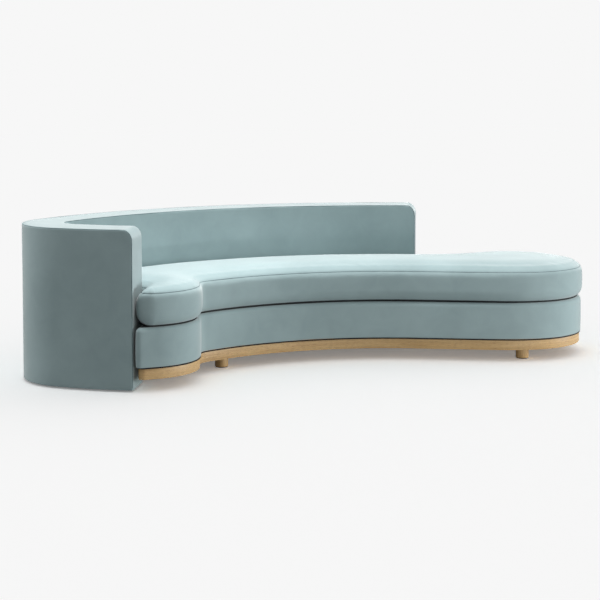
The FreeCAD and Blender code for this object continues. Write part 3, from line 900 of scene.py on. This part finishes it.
# What stays as built: the frame inside, its fixings, the webbing, the zip
slotOf = {"wall_outer_skin": "plywood", "wall_inner_panel": "plywood", "plinth_board": "plywood",
          "seat_webbing": "webbing", "tie_bolts": "steel", "tie_nuts": "steel", "foot_bolts": "steel",
          "cushion_zip": "plastic"}
for name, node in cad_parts.items():
    node.data.materials.clear()
    node.data.materials.append(slots[slotOf.get(name, "beech")])
print("stage: frame materials")

# Floor, light and camera
stageSizes = {"floor": 60.0, "paper": 0.80, "white": 0.930, "world": 0.46, "glow": 0.18}
lamps = {
    "overhead": {"place": (-0.5, 0.45, 6.0), "aim": (-0.4, 0.25, 0.4), "size": (4.2, 1.4), "power": 365},
    "overLeft": {"place": (-0.9, 0.1, 2.9), "aim": (-0.8, -0.1, 0.4), "size": (1.2, 0.8), "power": 46},
    "rightFront": {"place": (7.6, -3.4, 1.1), "aim": (0.0, -0.1, 0.3), "size": (2.6, 1.6), "power": 460},
    "rightSide": {"place": (4.6, 0.6, 0.8), "aim": (0.6, -0.1, 0.3), "size": (2.0, 1.2), "power": 6},
    "leftBack": {"place": (-3.8, 2.0, 1.6), "aim": (-1.0, 0.1, 0.4), "size": (1.6, 1.6), "power": 60},
    "lowFront": {"place": (0.7, -2.2, 0.06), "aim": (0.05, -0.1, 0.25), "size": (2.2, 0.10), "power": 11}}
cameraSizes = {"place": (-2.920, -6.839, 1.376), "heading": (0.3907, 0.9205), "dip": 3.846,
               "lens": 90.745, "sensor": 36, "shift": -0.1985}
clearRays = ("Is Camera Ray", "Is Glossy Ray", "Is Transmission Ray")


def buildStage():
    mesh = bmesh.new()
    bmesh.ops.create_grid(mesh, x_segments=8, y_segments=8, size=stageSizes["floor"] / 2)
    data = bpy.data.meshes.new("floor")
    mesh.to_mesh(data)
    mesh.free()
    floor = bpy.data.objects.new("floor", data)
    bpy.context.scene.collection.objects.link(floor)
    paint = Paint("floorPaper")
    rays = [paint.node("ShaderNodeLightPath", {}, {}, ray) for ray in clearRays]
    seen = rays[0] + rays[1] + rays[2]
    paper, white = stageSizes["paper"], stageSizes["white"]
    shown = (white - stageSizes["glow"]) / stageSizes["world"]
    tone = paint.blend(seen, (paper, paper, paper, 1), (shown, shown, shown, 1))
    flat = paint.node("ShaderNodeBsdfDiffuse", {}, {"Color": tone})
    glow = paint.node("ShaderNodeEmission", {}, {"Strength": seen * stageSizes["glow"]})
    both = paint.node("ShaderNodeAddShader", {}, {0: flat, 1: glow})
    paint.tree.links.new(both.socket, paint.tree.nodes["Material Output"].inputs["Surface"])
    data.materials.append(paint.material)

    world = bpy.data.worlds.new("studio")
    bpy.context.scene.world = world
    world.use_nodes = True
    tree = world.node_tree
    path = tree.nodes.new("ShaderNodeLightPath")
    seen = path.outputs[clearRays[0]]
    for ray in clearRays[1:]:
        either = tree.nodes.new("ShaderNodeMath")
        either.operation = "MAXIMUM"
        tree.links.new(seen, either.inputs[0])
        tree.links.new(path.outputs[ray], either.inputs[1])
        seen = either.outputs[0]
    mix = tree.nodes.new("ShaderNodeMix")
    mix.data_type = "FLOAT"
    mix.inputs[2].default_value = stageSizes["world"]
    mix.inputs[3].default_value = white
    tree.links.new(seen, mix.inputs[0])
    tree.nodes["Background"].inputs["Color"].default_value = (1, 1, 1, 1)
    tree.links.new(mix.outputs[0], tree.nodes["Background"].inputs["Strength"])
    return floor


def spareFrom(name, *things):
    group = bpy.data.collections.new(name)
    for thing in things:
        group.objects.link(thing)
    for member in group.collection_objects:
        member.light_linking.link_state = "EXCLUDE"
    return group


def addLamp(name, place, aim, size, power, spared):
    lamp = bpy.data.lights.new(name, "AREA")
    lamp.shape = "RECTANGLE"
    lamp.size, lamp.size_y = size
    lamp.energy = power
    holder = bpy.data.objects.new(name, lamp)
    holder.location = place
    holder.rotation_euler = (Vector(aim) - Vector(place)).to_track_quat("-Z", "Y").to_euler()
    bpy.context.scene.collection.objects.link(holder)
    holder.light_linking.receiver_collection = spared
    holder.visible_camera = False


floor = buildStage()
spared = spareFrom("unlit floor", floor)  # the lamps leave the floor to the even light around
sparedWall = spareFrom("unlit floor and wall", floor, wall)  # keeps the wall's top from going white
for name, lamp in lamps.items():
    addLamp(name, **lamp, spared=sparedWall if name == "overLeft" else spared)

cameraData = bpy.data.cameras.new("camera")
cameraData.lens = cameraSizes["lens"]
cameraData.sensor_width = cameraSizes["sensor"]
cameraData.shift_y = cameraSizes["shift"]
camera = bpy.data.objects.new("camera", cameraData)
camera.location = cameraSizes["place"]
ahead = Vector((*cameraSizes["heading"], -math.tan(math.radians(cameraSizes["dip"]))))
camera.rotation_euler = ahead.to_track_quat("-Z", "Y").to_euler()
bpy.context.scene.collection.objects.link(camera)
bpy.context.scene.camera = camera
bpy.context.scene.view_settings.view_transform = "Standard"
print("stage: light and camera")
